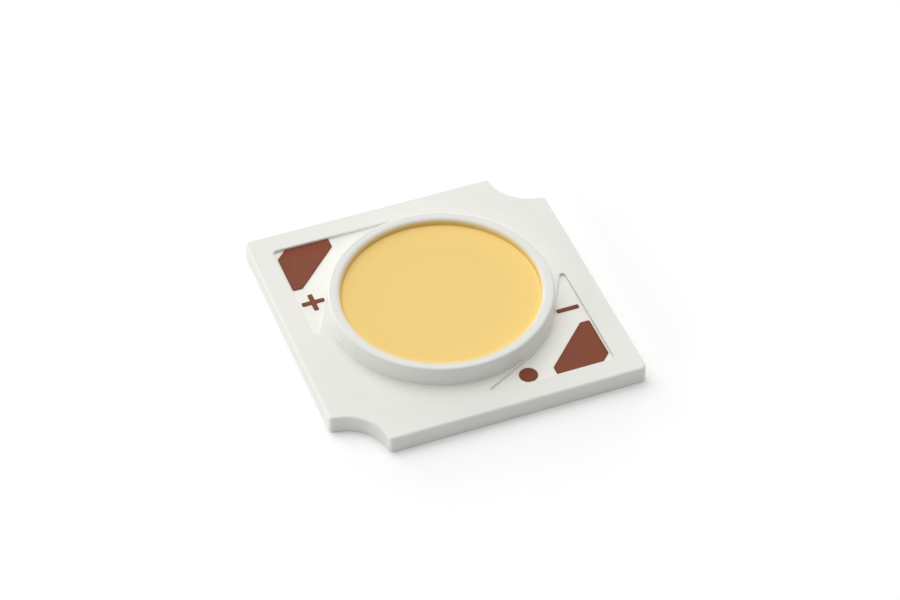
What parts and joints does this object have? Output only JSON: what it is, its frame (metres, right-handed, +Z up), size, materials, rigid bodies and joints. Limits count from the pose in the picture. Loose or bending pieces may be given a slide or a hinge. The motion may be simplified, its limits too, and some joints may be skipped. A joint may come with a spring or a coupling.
{
  "type": "chip-on-board led",
  "caption": "Chip-on-board LED: square ceramic plate with two screw notches, corner solder pads and a round phosphor-filled light-emitting area inside a raised ring.",
  "frame": {"origin": "middle of the underside, on the axis of the light-emitting area", "axes": "+Z up, the way the light leaves; +X along the front edge, +Y to the back edge; the screw notches are at -X-Y and +X+Y, the + pad at -X+Y and the - pad at +X-Y"},
  "size_m": [0.019, 0.019, 0.0024],
  "materials": {
    "ceramic": "matt white alumina",
    "white_coat": "matt white reflective print",
    "copper": "bare copper, dull and brown",
    "dam_silicone": "white silicone, satin",
    "phosphor_silicone": "yellow phosphor silicone, satin",
    "adhesive": "cured adhesive, matt",
    "led_chip": "polished crystal",
    "gold_wire": "drawn gold, bright"
  },
  "bodies": {
    "root": {"substrate": "ceramic", "top_coat": "white_coat", "anode_circuit": "copper", "cathode_circuit": "copper", "plus_mark": "copper", "minus_mark": "copper", "temperature_point": "copper", "dam_ring": "dam_silicone", "phosphor_fill": "phosphor_silicone", "die_attach": "adhesive", "led_string_1": "led_chip", "led_string_2": "led_chip", "led_string_3": "led_chip", "led_string_4": "led_chip", "led_string_5": "led_chip", "led_string_6": "led_chip", "led_string_7": "led_chip", "led_string_8": "led_chip", "bond_wires_1": "gold_wire", "bond_wires_2": "gold_wire", "bond_wires_3": "gold_wire", "bond_wires_4": "gold_wire", "bond_wires_5": "gold_wire", "bond_wires_6": "gold_wire", "bond_wires_7": "gold_wire", "bond_wires_8": "gold_wire"}
  },
  "joints": []
}
